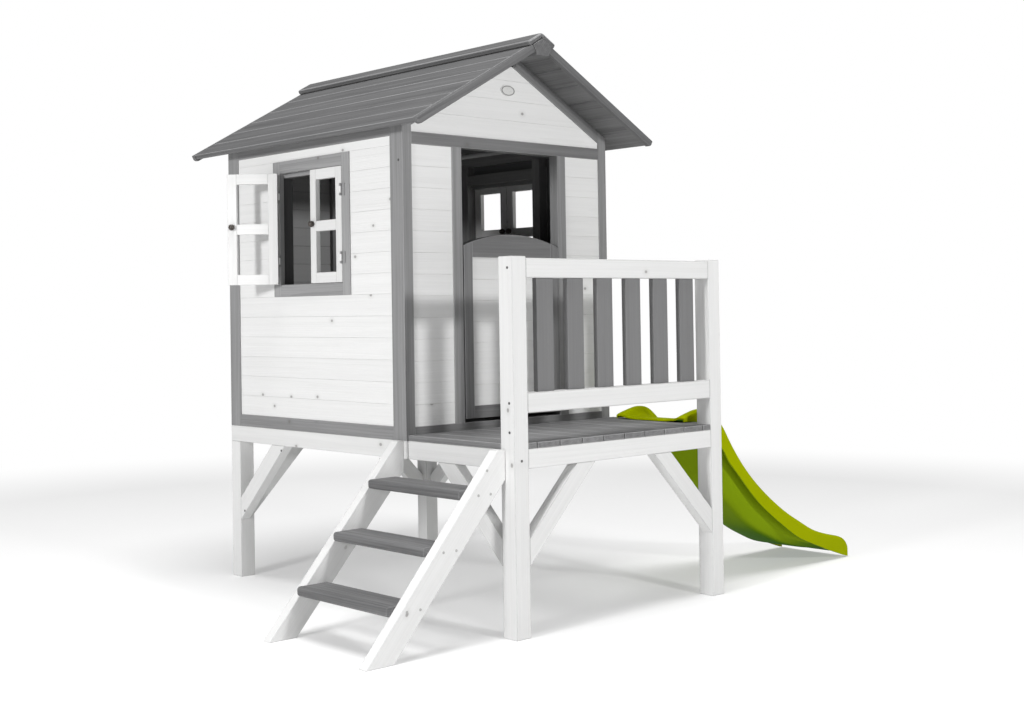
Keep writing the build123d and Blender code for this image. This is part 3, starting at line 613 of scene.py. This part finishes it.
def floor_material():
    """Pale matt floor that fades into the white surroundings."""
    s = Shader("pale_floor")
    place = s.node("TexCoord").outputs["Object"]
    far = s.node("VectorMath", {0: place}, operation="LENGTH").outputs["Value"]
    fade = s.math("MAXIMUM", s.ramp(far, FLOOR_NEAR, FLOOR_FAR), FLOOR_GLOW)
    speck = s.noise(place, 30.0, 3.0)
    colour = s.mix(speck, (0.93, 0.93, 0.93), (0.95, 0.95, 0.95))
    s.set(Base_Color=colour, Roughness=0.9)
    glow = s.node("Emission", {"Color": (1, 1, 1, 1), "Strength": 1.0})
    blend = s.node("MixShader", {0: fade, 1: s.surface.outputs[0], 2: glow.outputs[0]})
    s.tree.links.new(blend.outputs[0], s.output.inputs["Surface"])
    return s.material


def floor():
    mesh = bpy.data.meshes.new("pale_floor")
    spokes = FLOOR_SPOKES
    points = [(0, 0, -FLOOR_DROP)]
    for ring in range(1, FLOOR_RINGS + 1):
        radius = FLOOR_RADIUS * (ring / FLOOR_RINGS) ** 2
        for spoke in range(spokes):
            turn = 2 * math.pi * spoke / spokes
            points.append((radius * math.cos(turn), radius * math.sin(turn), -FLOOR_DROP))
    faces = [(0, 1 + i, 1 + (i + 1) % spokes) for i in range(spokes)]
    for ring in range(FLOOR_RINGS - 1):
        a = 1 + ring * spokes
        b = a + spokes
        faces += [(a + i, b + i, b + (i + 1) % spokes, a + (i + 1) % spokes) for i in range(spokes)]
    mesh.from_pydata(points, [], faces)
    made = bpy.data.objects.new("pale_floor", mesh)
    bpy.context.scene.collection.objects.link(made)
    mesh.materials.append(floor_material())


def softbox(name, place, aim, size, power):
    lamp = bpy.data.lights.new(name, "AREA")
    lamp.shape = "DISK"
    lamp.size = size
    lamp.energy = power
    made = bpy.data.objects.new(name, lamp)
    made.location = place
    made.rotation_euler = (Vector(aim) - Vector(place)).to_track_quat("-Z", "Y").to_euler()
    bpy.context.scene.collection.objects.link(made)


def surroundings():
    """Even soft light; the camera sees plain white."""
    world = bpy.data.worlds.new("studio")
    bpy.context.scene.world = world
    world.use_nodes = True
    tree = world.node_tree
    tree.nodes.clear()
    soft = tree.nodes.new("ShaderNodeBackground")
    soft.inputs["Strength"].default_value = ROOM_LIGHT
    seen = tree.nodes.new("ShaderNodeBackground")
    seen.inputs["Strength"].default_value = ROOM_SHOWN
    for background in (soft, seen):
        background.inputs["Color"].default_value = (1, 1, 1, 1)
    path = tree.nodes.new("ShaderNodeLightPath")
    mix = tree.nodes.new("ShaderNodeMixShader")
    out = tree.nodes.new("ShaderNodeOutputWorld")
    tree.links.new(path.outputs["Is Camera Ray"], mix.inputs[0])
    tree.links.new(soft.outputs[0], mix.inputs[1])
    tree.links.new(seen.outputs[0], mix.inputs[2])
    tree.links.new(mix.outputs[0], out.inputs["Surface"])


floor()
surroundings()
for name, (place, aim, size, power) in LAMPS.items():
    softbox(name, place, aim, size, power)

# Camera at the photographed angle

CAMERA_PLACE = (-3.5144, -3.8132, 0.9650)
CAMERA_YAW = math.radians(41.7)
CAMERA_PITCH = math.radians(0.81)
CAMERA_ROLL = math.radians(-0.86)
CAMERA_LENS = 49.67
CAMERA_SHIFT = (0.0459, -0.0602)


def camera():
    ahead = Vector((
        math.sin(CAMERA_YAW) * math.cos(CAMERA_PITCH),
        math.cos(CAMERA_YAW) * math.cos(CAMERA_PITCH),
        math.sin(CAMERA_PITCH),
    ))
    level = Vector((math.cos(CAMERA_YAW), -math.sin(CAMERA_YAW), 0))
    above = level.cross(ahead)
    right = level * math.cos(CAMERA_ROLL) + above * math.sin(CAMERA_ROLL)
    up = above * math.cos(CAMERA_ROLL) - level * math.sin(CAMERA_ROLL)
    data = bpy.data.cameras.new("studio_camera")
    data.lens = CAMERA_LENS
    data.sensor_width = 36.0
    data.shift_x, data.shift_y = CAMERA_SHIFT
    made = bpy.data.objects.new("studio_camera", data)
    turn = Matrix((right, up, -ahead)).transposed().to_4x4()
    made.matrix_world = Matrix.Translation(CAMERA_PLACE) @ turn
    bpy.context.scene.collection.objects.link(made)
    bpy.context.scene.camera = made


camera()
bpy.context.scene.view_settings.view_transform = "Standard"
